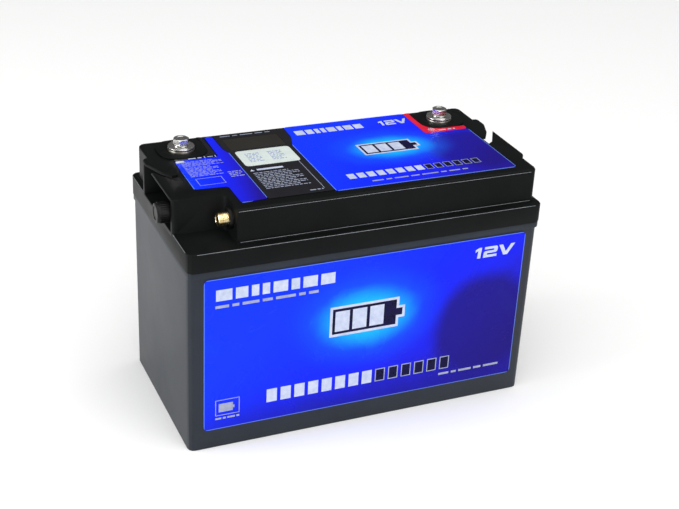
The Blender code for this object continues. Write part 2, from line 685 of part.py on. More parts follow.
def make_battery_management(busbar_top):
    """Circuit board on its heat spreader, and the leads and harnesses that meet it."""
    left, right = BOARD_X - BOARD_THICKNESS / 2, BOARD_X + BOARD_THICKNESS / 2
    box("management_board", (left, -BOARD_HALF_WIDTH, BOARD_BOTTOM),
        (right, BOARD_HALF_WIDTH, BOARD_TOP), board_green())
    box("heat_spreader", (left - GAP - SPREADER_THICKNESS, -0.056, 0.024), (left - GAP, 0.056, 0.112),
        aluminium())
    box("switch_block", (right + GAP, -0.050, 0.040), (right + GAP + SWITCH_THICKNESS, 0.020, 0.090),
        material("chip_black", (0.02, 0.02, 0.02), 0.4))
    meet = BOARD_TOP + LEAD_GAP
    post_end = POST_BOTTOM - LEAD_GAP
    bar_end = busbar_top + LEAD_GAP
    lead("positive_lead", ((cell_x(6), CELL_POST_Y, bar_end), (cell_x(6), CELL_POST_Y, bar_end + 0.012),
                           (0.112, 0.049, 0.175), (TERMINAL_X, TERMINAL_Y, post_end - 0.012),
                           (TERMINAL_X, TERMINAL_Y, post_end)), THICK_LEAD,
         material("cable_red", (0.60, 0.02, 0.02), 0.6))
    lead("negative_lead", ((BOARD_X, 0.050, meet), (BOARD_X, 0.050, meet + 0.015),
                           (-0.133, 0.052, 0.172), (-TERMINAL_X, TERMINAL_Y, post_end - 0.012),
                           (-TERMINAL_X, TERMINAL_Y, post_end)), THICK_LEAD, cable_black())
    lead("pack_negative_lead", ((cell_x(0), CELL_POST_Y, bar_end), (cell_x(0), CELL_POST_Y, bar_end + 0.012),
                                (-0.110, 0.036, 0.160), (BOARD_X, 0.028, meet + 0.015),
                                (BOARD_X, 0.028, meet)), THICK_LEAD, cable_black())
    lead("display_harness", ((-0.060, 0.050, 0.2136), (-0.060, 0.050, 0.200), (-0.085, 0.030, 0.176),
                             (-0.125, 0.014, 0.158), (BOARD_X, 0.008, meet + 0.012),
                             (BOARD_X, 0.008, meet)), THIN_LEAD, cable_black())
    open_end = OPEN_PORT + Vector((OPEN_PORT_TAIL + GAP, 0.0, 0.0))
    lead("open_port_harness", (open_end, open_end + Vector((0.006, 0.0, 0.0)), (-0.096, -0.058, 0.190),
                               (-0.108, -0.050, 0.165), (-0.132, -0.042, 0.152),
                               (BOARD_X, -0.040, meet + 0.010), (BOARD_X, -0.040, meet)),
         THIN_LEAD, cable_black())
    capped_end = CAPPED_PORT + Vector((CAPPED_PORT_TAIL + GAP, 0.0, 0.0))
    lead("capped_port_harness", (capped_end, capped_end + Vector((0.005, 0.0, 0.0)),
                                 (-0.1270, -0.026, 0.190), (-0.132, -0.020, 0.160),
                                 (BOARD_X, -0.016, meet + 0.010), (BOARD_X, -0.016, meet)),
         THIN_LEAD, cable_black())


clear_scene()
parts = make_collection("deep_cycle_battery")
cutters = make_collection("cutters")
make_case()
make_lid_seal()
make_lid()
for terminal, side in (("negative", -1), ("positive", 1)):
    make_terminal(terminal, side)
make_open_port()
make_capped_port()
make_front_label()
make_top_films()
make_polarity_mark("positive_mark", 1, (MARK_LEFT, MARK_FRONT), (MARK_RIGHT, MARK_BACK),
                   material("mark_red", (0.75, 0.02, 0.05), 0.35))
make_polarity_mark("negative_mark", -1, (-0.1410, 0.0291), (-0.1016, MARK_BACK),
                   material("mark_black", (0.012, 0.012, 0.013), 0.35))
make_display()
make_cells()
busbar_top = make_busbars()
make_pack_frame()
make_battery_management(busbar_top)
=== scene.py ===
import math

import bmesh
import bpy
from mathutils import Matrix, Vector


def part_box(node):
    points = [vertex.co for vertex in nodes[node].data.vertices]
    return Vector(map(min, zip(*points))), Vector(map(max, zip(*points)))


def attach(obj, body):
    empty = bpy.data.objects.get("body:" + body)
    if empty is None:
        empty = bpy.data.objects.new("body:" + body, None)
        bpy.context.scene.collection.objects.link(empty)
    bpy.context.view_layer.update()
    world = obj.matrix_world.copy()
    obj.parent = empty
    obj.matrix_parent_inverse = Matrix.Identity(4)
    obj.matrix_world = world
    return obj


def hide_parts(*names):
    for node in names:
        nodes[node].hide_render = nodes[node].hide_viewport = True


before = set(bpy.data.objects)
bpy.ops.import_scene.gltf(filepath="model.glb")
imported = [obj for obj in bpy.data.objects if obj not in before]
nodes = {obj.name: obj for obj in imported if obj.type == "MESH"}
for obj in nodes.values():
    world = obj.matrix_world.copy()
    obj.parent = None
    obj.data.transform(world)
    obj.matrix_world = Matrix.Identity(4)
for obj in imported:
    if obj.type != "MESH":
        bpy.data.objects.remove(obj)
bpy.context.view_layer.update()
mm = 0.001
print("frame loaded:", len(nodes), "nodes")

def linear(hexCode, alpha=1.0):
    # an sRGB hex colour as the linear values that the shader takes
    values = [int(hexCode[i:i + 2], 16) / 255 for i in (1, 3, 5)]
    return (*[v / 12.92 if v <= 0.04045 else ((v + 0.055) / 1.055) ** 2.4 for v in values], alpha)


def addNode(tree, kind, inputs=None, stops=(), **settings):
    # an input is a socket to link, a hex colour or a plain value; stops are a ramp's places and colours
    made = tree.nodes.new("ShaderNode" + kind)
    for name, value in settings.items():
        setattr(made, name, value)
    for name, value in (inputs or {}).items():
        if isinstance(value, bpy.types.NodeSocket):
            tree.links.new(value, made.inputs[name])
        else:
            made.inputs[name].default_value = linear(value) if isinstance(value, str) else value
    if stops:
        points = made.color_ramp.elements
        while len(points) < len(stops):
            points.new(0.5)
        for point, (where, code) in zip(points, stops):
            point.position = where
            point.color = linear(code)
    return made


def startMaterial(name, roughness, metallic=0.0, specular=0.5, coat=0.0, coatRoughness=0.1):
    made = bpy.data.materials.new(name)
    made.use_nodes = True
    tree = made.node_tree
    shader = tree.nodes["Principled BSDF"]
    shader.inputs["Roughness"].default_value = roughness
    shader.inputs["Metallic"].default_value = metallic
    shader.inputs["Specular IOR Level"].default_value = specular
    shader.inputs["Coat Weight"].default_value = coat
    shader.inputs["Coat Roughness"].default_value = coatRoughness
    place = addNode(tree, "TexCoord").outputs["Object"]
    return made, tree, shader, place


# a surface with speckle in its colour, its gloss and its height: grain is the speckle's size in mm
def grainedMaterial(name, colours, gloss, grain, depth, metallic=0.0, specular=0.5, stretch=(1, 1, 1),
                    patch=30.0, coat=0.0, bumpStrength=0.4):
    made, tree, shader, place = startMaterial(name, sum(gloss) / 2, metallic, specular, coat)
    turned = addNode(tree, "Mapping", {"Vector": place, "Scale": stretch}).outputs[0]
    fine = addNode(tree, "TexNoise", {"Vector": turned, "Scale": 1000 / grain,
                                      "Detail": 3.0, "Roughness": 0.6}).outputs["Fac"]
    wide = addNode(tree, "TexNoise", {"Vector": place, "Scale": 1000 / patch,
                                      "Detail": 4.0, "Roughness": 0.55}).outputs["Fac"]
    # a third of the speckle is the fine grain, the rest the wide patches
    fineShare = addNode(tree, "Math", {0: fine, 1: 0.35}, operation="MULTIPLY").outputs[0]
    wideShare = addNode(tree, "Math", {0: wide, 1: 0.65}, operation="MULTIPLY").outputs[0]
    both = addNode(tree, "Math", {0: fineShare, 1: wideShare}, operation="ADD").outputs[0]
    ramp = addNode(tree, "ValToRGB", {"Fac": both}, stops=[(0.32, colours[0]), (0.68, colours[1])])
    tree.links.new(ramp.outputs["Color"], shader.inputs["Base Color"])
    dull = addNode(tree, "MapRange", {"Value": both, "From Min": 0.3, "From Max": 0.7,
                                      "To Min": gloss[0], "To Max": gloss[1]})
    tree.links.new(dull.outputs[0], shader.inputs["Roughness"])
    bump = addNode(tree, "Bump", {"Height": fine, "Strength": bumpStrength, "Distance": depth * mm})
    tree.links.new(bump.outputs[0], shader.inputs["Normal"])
    return made


def clearSelection():
    if bpy.context.object and bpy.context.object.mode != "OBJECT":
        bpy.ops.object.mode_set(mode="OBJECT")
    bpy.ops.object.select_all(action="DESELECT")


def pick(kind, test):
    # in edit mode, select only the corners, edges or faces whose middle passes the test
    bpy.ops.mesh.select_mode(type=kind)
    bpy.ops.mesh.select_all(action="DESELECT")
    shape = bmesh.from_edit_mesh(bpy.context.object.data)
    members = {"VERT": shape.verts, "EDGE": shape.edges, "FACE": shape.faces}[kind]
    for member in members:
        if kind == "VERT":
            middle = member.co
        else:
            middle = sum((v.co for v in member.verts), Vector()) / len(member.verts)
        member.select_set(bool(test(middle)))
    shape.select_flush_mode()
    bmesh.update_edit_mesh(bpy.context.object.data)


def startOutline(name, corners, closed=True):
    # one corner is drawn out from point to point in the XY plane, or in XZ where the points have 3 values
    clearSelection()
    bpy.ops.mesh.primitive_plane_add(size=0.001)
    piece = bpy.context.object
    piece.name = name
    bpy.ops.object.mode_set(mode="EDIT")
    bpy.ops.mesh.select_mode(type="VERT")
    bpy.ops.mesh.select_all(action="SELECT")
    bpy.ops.mesh.merge(type="CENTER")
    bpy.ops.transform.translate(value=corners[0])
    for before, after in zip(corners, corners[1:]):
        step = Vector(after) - Vector(before)
        bpy.ops.mesh.extrude_region_move(TRANSFORM_OT_translate={"value": step})
    if closed:
        first, last = Vector(corners[0]), Vector(corners[-1])
        pick("VERT", lambda middle: min((middle - first).length, (middle - last).length) < 2e-6)
        bpy.ops.mesh.edge_face_add()
    return piece


def applyPlace(piece, place=(0, 0, 0), turn=(0, 0, 0)):
    clearSelection()
    piece.select_set(True)
    bpy.context.view_layer.objects.active = piece
    piece.rotation_euler = turn
    piece.location = place
    bpy.ops.object.transform_apply(location=True, rotation=True, scale=True)


def addModifier(piece, kind, **settings):
    clearSelection()
    piece.select_set(True)
    bpy.context.view_layer.objects.active = piece
    made = piece.modifiers.new(kind.lower(), kind)
    for name, value in settings.items():
        setattr(made, name, value)
    bpy.ops.object.modifier_apply(modifier=made.name)


# a turned piece: its half section of (radius, height) in mm goes once round the upright axis
def turnPiece(name, section, steps=72, smoothAngle=32):
    corners = [(radius * mm, 0.0, height * mm) for radius, height in section]
    onAxis = section[0][0] == 0 and section[-1][0] == 0
    piece = startOutline(name, corners, closed=not onAxis)
    bpy.ops.mesh.select_mode(type="VERT")
    bpy.ops.mesh.select_all(action="SELECT")
    bpy.ops.mesh.spin(steps=steps, angle=2 * math.pi, center=(0, 0, 0), axis=(0, 0, 1))
    bpy.ops.mesh.select_all(action="SELECT")
    bpy.ops.mesh.remove_doubles(threshold=0.000002)
    bpy.ops.mesh.normals_make_consistent(inside=False)
    bpy.ops.object.mode_set(mode="OBJECT")
    bpy.ops.object.shade_smooth_by_angle(angle=math.radians(smoothAngle))
    return piece


def settle(piece, body, slotName, finish, *stoodFor):
    # the piece gets its finish and goes with its body, in place of any nodes named
    if finish is not None:
        piece.data.materials.clear()
        piece.data.materials.append(finish)
    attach(piece, body)
    if stoodFor:
        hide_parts(*stoodFor)
    return piece


def joinAll(name, pieces):
    clearSelection()
    for piece in pieces:
        piece.select_set(True)
    bpy.context.view_layer.objects.active = pieces[0]
    if len(pieces) > 1:
        bpy.ops.object.join()
    bpy.context.object.name = name
    return bpy.context.object

viewpoint = {
    "place": (-0.45262, -1.01986, 0.70216),
    "azimuth": -24.28,     # degrees, turned left from looking along +Y
    "downward": 27.25,
    "roll": 2.945,
    "lens": 72.28,
}

studio = {
    "floor": "#FBFBFA",
    "world": 0.13,
    "key": {"place": (-1.75, 0.10, 0.62), "size": (0.9, 0.7), "power": 15.0},
    "ceiling": {"place": (0.0, -1.4, 4.0), "size": (9.0, 8.0), "power": 380.0},
    "front": {"place": (0.5, -2.6, 0.9), "size": (2.0, 0.9), "power": 14.0},
}


def makeCamera(settings):
    azimuth, down, roll = (math.radians(settings[key]) for key in ("azimuth", "downward", "roll"))
    ahead = Vector((-math.sin(azimuth) * math.cos(down), math.cos(azimuth) * math.cos(down), -math.sin(down)))
    level = Vector((math.cos(azimuth), math.sin(azimuth), 0.0))
    above = level.cross(ahead)
    right = math.cos(roll) * level + math.sin(roll) * above
    up = -math.sin(roll) * level + math.cos(roll) * above
    data = bpy.data.cameras.new("camera")
    data.lens = settings["lens"]
    data.sensor_width = 36.0
    data.clip_start = 0.05
    camera = bpy.data.objects.new("camera", data)
    bpy.context.scene.collection.objects.link(camera)
    turn = Matrix((right, up, -ahead)).transposed().to_4x4()
    camera.matrix_world = Matrix.Translation(settings["place"]) @ turn
    bpy.context.scene.camera = camera


def makeLight(name, place, size, power, target=(0.0, 0.0, 0.12)):
    data = bpy.data.lights.new(name, "AREA")
    data.shape = "RECTANGLE"
    data.size, data.size_y = size
    data.energy = power
    light = bpy.data.objects.new(name, data)
    light.location = place
    light.rotation_mode = "QUATERNION"
    light.rotation_quaternion = (Vector(place) - Vector(target)).to_track_quat("Z", "Y")
    bpy.context.scene.collection.objects.link(light)


makeCamera(viewpoint)
clearSelection()
bpy.ops.mesh.primitive_plane_add(size=14.0, location=(0.0, 2.0, -0.0002))
floor = bpy.context.object
floor.name = "floor"
floorPaint, floorTree, floorShader, floorPlace = startMaterial("painted_board", 0.75, specular=0.2)
floorSpeck = addNode(floorTree, "TexNoise", {"Vector": floorPlace, "Scale": 900.0}).outputs["Fac"]
floorColour = addNode(floorTree, "Mix", {0: floorSpeck, 6: studio["floor"], 7: "#FFFFFF"}, data_type="RGBA")
floorTree.links.new(floorColour.outputs[2], floorShader.inputs["Base Color"])
floor.data.materials.append(floorPaint)
for lightName in ("key", "ceiling", "front"):
    makeLight(lightName, **studio[lightName])
world = bpy.data.worlds.new("studio")
bpy.context.scene.world = world
world.use_nodes = True
world.node_tree.nodes["Background"].inputs["Color"].default_value = (1.0, 1.0, 1.0, 1.0)
world.node_tree.nodes["Background"].inputs["Strength"].default_value = studio["world"]
bpy.context.scene.view_settings.view_transform = "Standard"    # the films' blues keep their full strength
print("camera, floor and light ready")

finishes = {}

# polypropylene case, injection moulded with a fine satin grain: slate black, broad soft sheen
finishes["case_plastic"] = grainedMaterial(
    "moulded_polypropylene", ("#22272E", "#2C323B"), (0.36, 0.46), 0.9, 0.020, specular=0.18, patch=60)
# ABS lid, moulded against a spark-eroded tool: darker, with a slightly coarser grain
finishes["lid_plastic"] = grainedMaterial(
    "moulded_abs", ("#090A0A", "#121414"), (0.38, 0.50), 0.8, 0.030, specular=0.08, patch=45)
# painted highlight: pale grey in the lid plastic's grain, for the thin lines of light along the lid's edges
finishes["parting_line"] = grainedMaterial(
    "painted_edge_highlight_abs", ("#6E7377", "#A4AAAE"), (0.20, 0.34), 1.2, 0.010, patch=9)
# glass-filled nylon of the port's flange, insert and cap: matter, with flow marks
finishes["port_plastic"] = grainedMaterial(
    "moulded_nylon", ("#070708", "#101011"), (0.30, 0.48), 0.6, 0.030, specular=0.2, patch=8)
# nitrile rubber: dull, a little dusty
finishes["seal_rubber"] = grainedMaterial(
    "moulded_nitrile", ("#0F0F0F", "#202020"), (0.70, 0.88), 0.5, 0.030, patch=6)
# steel with bright zinc: mottled grey with soft highlights
finishes["zinc_steel"] = grainedMaterial(
    "zinc_plated_steel", ("#C2C2C0", "#F1F0EC"), (0.14, 0.30), 0.5, 0.012, metallic=1.0, patch=3)
# tin over copper: pale and a little cloudy
finishes["tinned_copper"] = grainedMaterial(
    "tin_plated_copper", ("#B4AFA6", "#D8D2C6"), (0.25, 0.42), 0.4, 0.010, metallic=1.0, patch=5)
finishes["copper_bar"] = grainedMaterial(
    "tin_plated_bar", ("#B9A58E", "#D9CDBB"), (0.28, 0.45), 0.5, 0.010, metallic=1.0,
    stretch=(0.1, 1, 1), patch=12)
# turned brass: yellow, with the tool's fine rings across it, which run round the X axis
finishes["brass"] = grainedMaterial(
    "turned_brass", ("#C8AE74", "#F6ECC6"), (0.14, 0.26), 0.35, 0.010, metallic=1.0,
    stretch=(1, 0.05, 0.05), patch=4)
finishes["nickel_brass"] = grainedMaterial(
    "nickel_plated_brass", ("#9D998E", "#CFCBBF"), (0.20, 0.34), 0.35, 0.010, metallic=1.0,
    stretch=(1, 0.05, 0.05), patch=4)
# mill finish aluminium: long rolling streaks
finishes["pack_aluminium"] = grainedMaterial(
    "rolled_aluminium", ("#9EA0A3", "#C6C8CB"), (0.30, 0.46), 0.5, 0.012, metallic=1.0,
    stretch=(1, 0.03, 1), patch=20)
finishes["strap_steel"] = grainedMaterial(
    "rolled_steel_band", ("#7F8183", "#A9ABAD"), (0.32, 0.50), 0.5, 0.012, metallic=1.0,
    stretch=(0.03, 0.03, 1), patch=15)
# closed-cell foam: open pores a millimetre across
finishes["foam_grey"] = grainedMaterial(
    "closed_cell_foam", ("#2B2B2C", "#4A4A4B"), (0.85, 0.95), 1.2, 0.25, patch=12, bumpStrength=0.8)
# glass epoxy board under green solder mask, with the tracks just showing
finishes["board_green"] = grainedMaterial(
    "solder_mask", ("#06351A", "#0E6A32"), (0.28, 0.42), 2.2, 0.040, patch=5, stretch=(1, 1, 0.25))
# shrunk polyester sleeve round each cell
finishes["cell_film"] = grainedMaterial(
    "shrink_sleeve", ("#12306E", "#1F4A9C"), (0.18, 0.34), 3.0, 0.060, patch=25, stretch=(1, 1, 0.3))
# soft PVC cable jackets
finishes["cable_red"] = grainedMaterial(
    "red_cable_jacket", ("#7A0C0C", "#A31515"), (0.45, 0.60), 0.6, 0.020, patch=10)
finishes["cable_black"] = grainedMaterial(
    "black_cable_jacket", ("#0E0E0F", "#1C1C1D"), (0.45, 0.60), 0.6, 0.020, patch=10)
finishes["chip_black"] = grainedMaterial(
    "epoxy_block", ("#101011", "#1D1D1E"), (0.35, 0.55), 0.4, 0.015, patch=6)
# printing inks over the films
finishes["whiteInk"] = grainedMaterial(
    "white_ink", ("#ADB8D6", "#D2DAEC"), (0.30, 0.42), 0.5, 0.004, patch=6)
finishes["navyInk"] = grainedMaterial(
    "navy_ink", ("#05061C", "#140F4A"), (0.24, 0.34), 1.5, 0.004, specular=0.1, patch=14)
finishes["blueInk"] = grainedMaterial(
    "pale_blue_ink", ("#5F74B4", "#93A5D6"), (0.40, 0.52), 1.6, 0.004, patch=4)
finishes["greyInk"] = grainedMaterial(
    "grey_ink", ("#878EA6", "#A9B0C4"), (0.30, 0.42), 0.5, 0.004, patch=6)


# the printed polyester films share this: a blue ground with clouds, a glow, a dark ring, and a pale rim that
# is a painted highlight along the film's edges
def printedFilm(name, flat, settings):
    made, tree, shader, place = startMaterial(name, 0.26, specular=0.10)
    apart = addNode(tree, "SeparateXYZ", {"Vector": place})
    across = apart.outputs["X"]
    upward = apart.outputs["Z" if flat == "front" else "Y"]
    (midX, midUp), (wide, tall) = settings["middle"], settings["size"]
    flatPlace = addNode(tree, "CombineXYZ", {"X": across, "Y": upward}).outputs[0]
    shareX = addNode(tree, "MapRange", {
        "Value": across, "From Min": midX - wide / 2, "From Max": midX + wide / 2}).outputs[0]
    shareUp = addNode(tree, "MapRange", {
        "Value": upward, "From Min": midUp - tall / 2, "From Max": midUp + tall / 2}).outputs[0]
    cloud = addNode(tree, "TexNoise", {"Vector": flatPlace, "Scale": 16.0, "Detail": 5.0,
                                       "Roughness": 0.6, "Distortion": 0.4}).outputs["Fac"]
    # the ground runs from clear blue at the upper left to violet at the lower right
    rise = addNode(tree, "Math", {0: shareUp, 1: 0.55}, operation="MULTIPLY").outputs[0]
    slope = addNode(tree, "Math", {0: shareX, 1: rise}, operation="SUBTRACT").outputs[0]
    drift = addNode(tree, "Math", {0: cloud, 1: 0.30}, operation="MULTIPLY").outputs[0]
    slope = addNode(tree, "Math", {0: slope, 1: drift}, operation="ADD").outputs[0]
    colour = addNode(tree, "ValToRGB", {"Fac": slope}, stops=settings["ground"]).outputs["Color"]
    level = addNode(tree, "Math", {0: cloud, 1: 0.5}, operation="SUBTRACT").outputs[0]
    for ring in settings["rings"]:
        turned = addNode(tree, "Mapping", {
            "Vector": flatPlace, "Location": (*ring["middle"], 0), "Scale": (*ring["reach"], 1)},
            vector_type="TEXTURE").outputs[0]
        ball = addNode(tree, "TexGradient", {"Vector": turned}, gradient_type="SPHERICAL").outputs["Fac"]
        fray = addNode(tree, "Math", {0: level, 1: ring["ragged"]}, operation="MULTIPLY").outputs[0]
        ragged = addNode(tree, "Math", {0: ball, 1: fray}, operation="ADD").outputs[0]
        amount = addNode(tree, "MapRange", {
            "Value": ragged, "From Min": ring["edge"][0], "From Max": ring["edge"][1],
            "To Max": ring["weight"]}, interpolation_type="SMOOTHSTEP").outputs[0]
        colour = addNode(tree, "Mix", {0: amount, 6: colour, 7: ring["colour"]}, data_type="RGBA").outputs[2]
    # a painted highlight: a pale rim about half a millimetre wide round the film, for the light caught along
    # its edges
    bands = []
    for spread, middle, length in ((across, midX, wide), (upward, midUp, tall)):
        away = addNode(tree, "Math", {0: spread, 1: middle}, operation="SUBTRACT").outputs[0]
        away = addNode(tree, "Math", {0: away}, operation="ABSOLUTE").outputs[0]
        bands.append(addNode(tree, "Math", {0: away, 1: length / 2 - settings["rim"]},
                             operation="GREATER_THAN").outputs[0])
    rim = addNode(tree, "Math", {0: bands[0], 1: bands[1]}, operation="MAXIMUM").outputs[0]
    rim = addNode(tree, "Math", {0: rim, 1: settings["edgeHighlightWeight"]}, operation="MULTIPLY").outputs[0]
    colour = addNode(tree, "Mix", {0: rim, 6: colour, 7: settings["edgeHighlightColour"]}, data_type="RGBA").outputs[2]
    tree.links.new(colour, shader.inputs["Base Color"])
    # the film's slight orange peel, a millimetre and a half from crest to crest
    peel = addNode(tree, "TexNoise", {"Vector": place, "Scale": 650.0, "Detail": 2.0}).outputs["Fac"]
    bump = addNode(tree, "Bump", {"Height": peel, "Strength": 0.25, "Distance": 0.01 * mm})
    tree.links.new(bump.outputs[0], shader.inputs["Normal"])
    dull = addNode(tree, "MapRange", {"Value": cloud, "To Min": 0.20, "To Max": 0.34})
    tree.links.new(dull.outputs[0], shader.inputs["Roughness"])
    return made


frontLow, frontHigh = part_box("front_label")
topLow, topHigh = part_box("top_label")
blueGround = [(0.0, "#0A34FF"), (0.40, "#0A24FF"), (0.75, "#1A1ACE"), (1.0, "#1E1092")]

frontFilm = {
    "middle": ((frontLow.x + frontHigh.x) / 2, (frontLow.z + frontHigh.z) / 2),
    "size": (frontHigh.x - frontLow.x, frontHigh.z - frontLow.z),
    "ground": blueGround,
    # the pale rim is a painted highlight along the film's edges
    "rim": 0.7 * mm,
    "edgeHighlightWeight": 0.5,
    "edgeHighlightColour": "#7FA8FF",
    "rings": [
        {"middle": (0.118, 0.078), "reach": (0.062, 0.062), "edge": (0.0, 0.34),
         "ragged": 0.22, "weight": 0.85, "colour": "#1A0C74"},
        {"middle": (0.0, 0.006), "reach": (0.26, 0.055), "edge": (0.0, 0.8),
         "ragged": 0.45, "weight": 0.75, "colour": "#1A1488"},
        {"middle": (0.000, 0.107), "reach": (0.086, 0.058), "edge": (0.0, 0.85),
         "ragged": 0.35, "weight": 0.85, "colour": "#0A62FF"},
        {"middle": (0.000, 0.107), "reach": (0.060, 0.036), "edge": (0.02, 0.65),
         "ragged": 0.35, "weight": 0.88, "colour": "#14B8FF"},
    ],
}
topFilm = {
    "middle": ((topLow.x + topHigh.x) / 2, (topLow.y + topHigh.y) / 2),
    "size": (topHigh.x - topLow.x, topHigh.y - topLow.y),
    "ground": blueGround,
    # the pale rim is a painted highlight along the film's edges
    "rim": 0.6 * mm,
    "edgeHighlightWeight": 0.6,
    "edgeHighlightColour": "#7FA8FF",
    "rings": [
        {"middle": (0.128, -0.020), "reach": (0.050, 0.050), "edge": (0.0, 0.36),
         "ragged": 0.22, "weight": 0.70, "colour": "#1A0C74"},
        {"middle": (0.054, 0.005), "reach": (0.069, 0.046), "edge": (0.0, 0.85),
         "ragged": 0.35, "weight": 0.85, "colour": "#0A62FF"},
        {"middle": (0.054, 0.005), "reach": (0.048, 0.029), "edge": (0.02, 0.65),
         "ragged": 0.35, "weight": 0.88, "colour": "#14B8FF"},
    ],
}
specLow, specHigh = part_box("spec_label")
specFilm = dict(topFilm, middle=((specLow.x + specHigh.x) / 2, (specLow.y + specHigh.y) / 2),
                size=(specHigh.x - specLow.x, specHigh.y - specLow.y), rings=[])
frontPrint = printedFilm("printed_polyester_front", "front", frontFilm)
topPrint = printedFilm("printed_polyester_top", "top", topFilm)
specPrint = printedFilm("printed_polyester_side_strip", "top", specFilm)
# the black and red films are the same polyester in one ink
finishes["panel_film"] = grainedMaterial(
    "black_printed_film", ("#141418", "#1E1E24"), (0.24, 0.34), 1.5, 0.008, specular=0.2, patch=20)
finishes["red_film"] = grainedMaterial(
    "red_printed_film", ("#C8102E", "#E4203F"), (0.26, 0.36), 1.5, 0.008, specular=0.2, patch=20)
finishes["sticker_film"] = grainedMaterial(
    "paper_faced_film", ("#C6D0CC", "#D6DFDB"), (0.45, 0.60), 0.7, 0.010, specular=0.2, patch=10)
# smoked acrylic over the display: brown-grey, polished
finishes["smoked_lens"] = grainedMaterial(
    "smoked_acrylic", ("#211F1B", "#2B2823"), (0.10, 0.18), 2.0, 0.004, specular=0.3, patch=25)
finishes["display_module"] = grainedMaterial(
    "display_cell", ("#3B3F30", "#4E533F"), (0.25, 0.40), 1.0, 0.010, patch=10)


# every CAD node is painted by the slot that the record gives it; the three blue films have their own print
ownPrints = {"front_label": frontPrint, "top_label": topPrint, "spec_label": specPrint}
for nodeName, node in nodes.items():
    finish = ownPrints.get(nodeName) or finishes[node.material_slots[0].name.split(".")[0]]
    node.material_slots[0].material = finish
print("finishes ready")

housing = {
    "lid": ("lid_plastic", 0.45),      # finish, and the radius in mm that the mould leaves on its edges
    "case": ("case_plastic", 0.40),
    "positive_collar": ("lid_plastic", 0.20),
    "negative_collar": ("lid_plastic", 0.20),
}


def softenedCopy(nodeName, finish, radius):
    # the moulding itself, welded into one skin, with every hard edge rounded as a mould rounds it
    clearSelection()
    source = nodes[nodeName]
    piece = bpy.data.objects.new("moulded_" + nodeName, source.data.copy())
    bpy.context.scene.collection.objects.link(piece)
    piece.select_set(True)
    bpy.context.view_layer.objects.active = piece
    bpy.ops.object.mode_set(mode="EDIT")
    bpy.ops.mesh.select_all(action="SELECT")
    bpy.ops.mesh.remove_doubles(threshold=0.000004)
    bpy.ops.mesh.dissolve_limited(angle_limit=math.radians(0.6))
    bpy.ops.object.mode_set(mode="OBJECT")
    addModifier(piece, "BEVEL", width=radius * mm, segments=2, limit_method="ANGLE",
                angle_limit=math.radians(28), use_clamp_overlap=True, harden_normals=False)
    clearSelection()
    piece.select_set(True)
    bpy.context.view_layer.objects.active = piece
    bpy.ops.object.shade_smooth_by_angle(angle=math.radians(38))
    return settle(piece, "battery", finish, finishes[finish], nodeName)


for nodeName, (finish, radius) in housing.items():
    softenedCopy(nodeName, finish, radius)
print("housing ready")


# painted highlights: pale strips along the lid's and skirt's edges stand in for the fine threads of light on
# those edges: both ends of each in mm. They are drawn 0.28 mm wide so that they show
paintedHighlightLines = {
    "block_front": ((-119.0, -77.7, 223.0), (154.0, -77.7, 223.0)),
    "skirt_front": ((-157.0, -86.29, 193.6), (157.0, -86.29, 193.6)),
    "step_front": ((-117.5, -79.0, 195.8), (155.0, -79.0, 195.8)),
    "skirt_left": ((-164.8, -79.0, 193.6), (-164.8, 79.0, 193.6)),
}
threadWidth = 0.28      # mm


# each strip is a painted highlight: pale plastic standing in for the line of light along an edge
def makePaintedHighlightLine(name, start, end):
    start, end = Vector(start) * mm, Vector(end) * mm
    width = threadWidth * mm
    length = (end - start).length
    clearSelection()
    bpy.ops.mesh.primitive_cube_add(size=1)
    piece = bpy.context.object
    piece.name = "parting_line_" + name
    piece.scale = (width, length, width) if start.x == end.x else (length, width, width)
    applyPlace(piece)
    bpy.ops.object.mode_set(mode="EDIT")
    bpy.ops.mesh.select_mode(type="EDGE")
    bpy.ops.mesh.select_all(action="SELECT")
    bpy.ops.mesh.bevel(offset=width / 4, segments=2)
    bpy.ops.object.mode_set(mode="OBJECT")
    applyPlace(piece, (start + end) / 2)
    settle(piece, "battery", "lid_plastic", finishes["parting_line"])


for lineName, line in paintedHighlightLines.items():
    makePaintedHighlightLine(lineName, *line)

bolt = {
    "acrossFlats": 13.0,
    "headHeight": 5.3,
    "topChamfer": 0.75,
    "dish": 0.35,          # how far the middle of the head is pressed in
    "threadRadius": 4.0,
    "threadDepth": 0.55,
    "pitch": 1.25,
    "length": 16.0,
}
washers = {"flatEdge": 0.35, "lockEdge": 0.18, "lockSplit": 8.0}    # edges in mm, split in degrees
pad = {"edge": 0.30}


def boltSection(size):
    corner = size["acrossFlats"] / 2 / math.cos(math.pi / 6)
    top, chamfer, crest = size["headHeight"], size["topChamfer"], size["threadRadius"]
    flat = size["acrossFlats"] / 2 - 0.35
    root = crest - size["threadDepth"]
    section = [(0, top - size["dish"]), (flat * 0.62, top - size["dish"]), (flat * 0.74, top), (flat, top),
               (corner, top - chamfer), (corner, 0.45), (flat, 0.30), (flat, 0.0), (crest - 0.25, 0.0),
               (crest - 0.25, -1.0)]
    height = -1.0
    while height > -size["length"] + size["pitch"] + 0.4:
        section += [(crest, height - 0.45), (crest, height - 0.60), (root, height - 1.05)]
        height -= size["pitch"]
    return section + [(root, -size["length"]), (0, -size["length"])]


